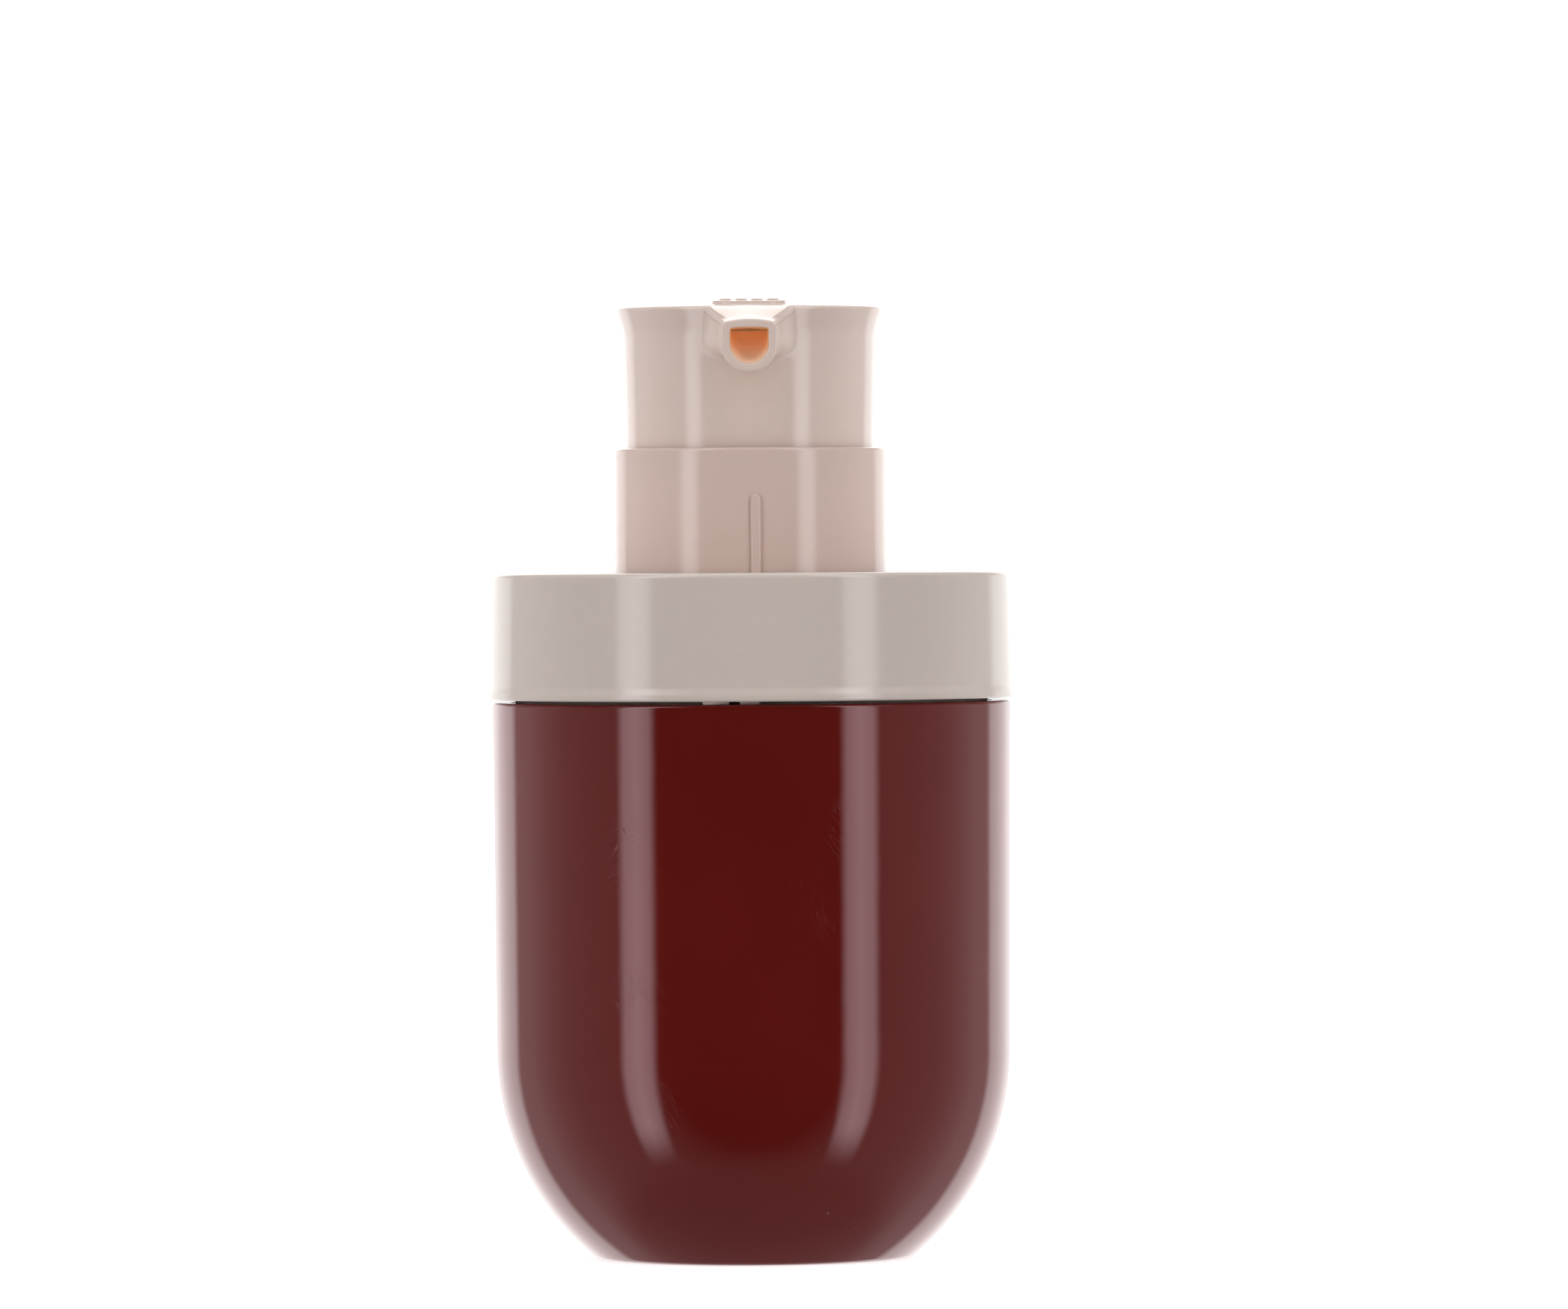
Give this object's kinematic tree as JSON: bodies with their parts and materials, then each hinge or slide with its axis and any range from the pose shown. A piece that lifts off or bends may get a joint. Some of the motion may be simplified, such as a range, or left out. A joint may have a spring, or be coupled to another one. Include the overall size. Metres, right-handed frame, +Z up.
{
  "type": "pump oil bottle",
  "caption": "Domed double-wall bottle with a wide shoulder collar and a twist-lock lotion pump whose head unscrews for refilling.",
  "frame": {"origin": "centre of the base, on the surface that the bottle stands on", "axes": "+Z up along the pump's axis, -Y towards the nozzle at rest, +X to the right as seen from the front"},
  "size_m": [0.0606, 0.0606, 0.1098],
  "materials": {
    "body_gloss": "deep gloss, dark red-brown",
    "collar_satin": "satin gloss, warm grey",
    "sleeve_satin": "satin gloss, pinkish grey",
    "actuator_satin": "satin gloss, light pinkish grey",
    "orange_inner": "glossy, translucent orange",
    "natural_bottle": "natural, milky, blow moulded",
    "natural_engine": "natural, moulded",
    "soft_seal": "soft, matt",
    "spring_steel": "drawn stainless wire",
    "ball_steel": "polished stainless ball"
  },
  "bodies": {
    "bottle": {"outer_shell": "body_gloss", "inner_bottle": "natural_bottle", "inner_shoulder": "natural_bottle", "shoulder_collar": "collar_satin"},
    "engine": {"pump_housing": "natural_engine", "neck_gasket": "soft_seal", "chaplet": "natural_engine", "stem_wiper": "soft_seal", "spring_cup": "natural_engine", "inlet_ball": "ball_steel", "dip_tube": "natural_bottle", "return_spring": "spring_steel"},
    "closure": {"screw_closure": "natural_engine", "guide_sleeve": "sleeve_satin"},
    "plunger": {"piston": "soft_seal"},
    "head": {"stem": "natural_engine", "outlet_seat": "soft_seal", "outlet_ball": "ball_steel", "actuator_core": "orange_inner", "actuator_shell": "actuator_satin", "nozzle_insert": "orange_inner"}
  },
  "joints": [
    {"name": "engine_lift", "type": "slide", "parent": "bottle", "child": "engine", "axis": [0, 0, 1], "range_m": [0, 0.0048]},
    {"name": "unscrew", "type": "hinge", "parent": "engine", "child": "closure", "pos_m": [0, 0, 0.0825], "axis": [0, 0, 1], "range_deg": [0, 545]},
    {"name": "press", "type": "slide", "parent": "engine", "child": "plunger", "axis": [0, 0, -1], "range_m": [0, 0.008], "stiffness_N_per_m": 800, "springref_m": -0.006, "deforming": ["return_spring"]},
    {"name": "twist_lock", "type": "hinge", "parent": "plunger", "child": "head", "pos_m": [0, 0, 0.0985], "axis": [0, 0, 1], "range_deg": [0, 90]}
  ],
  "couplings": [
    {"joint": "unscrew", "follows": "engine_lift", "rad_per_m": 1963.5}
  ]
}
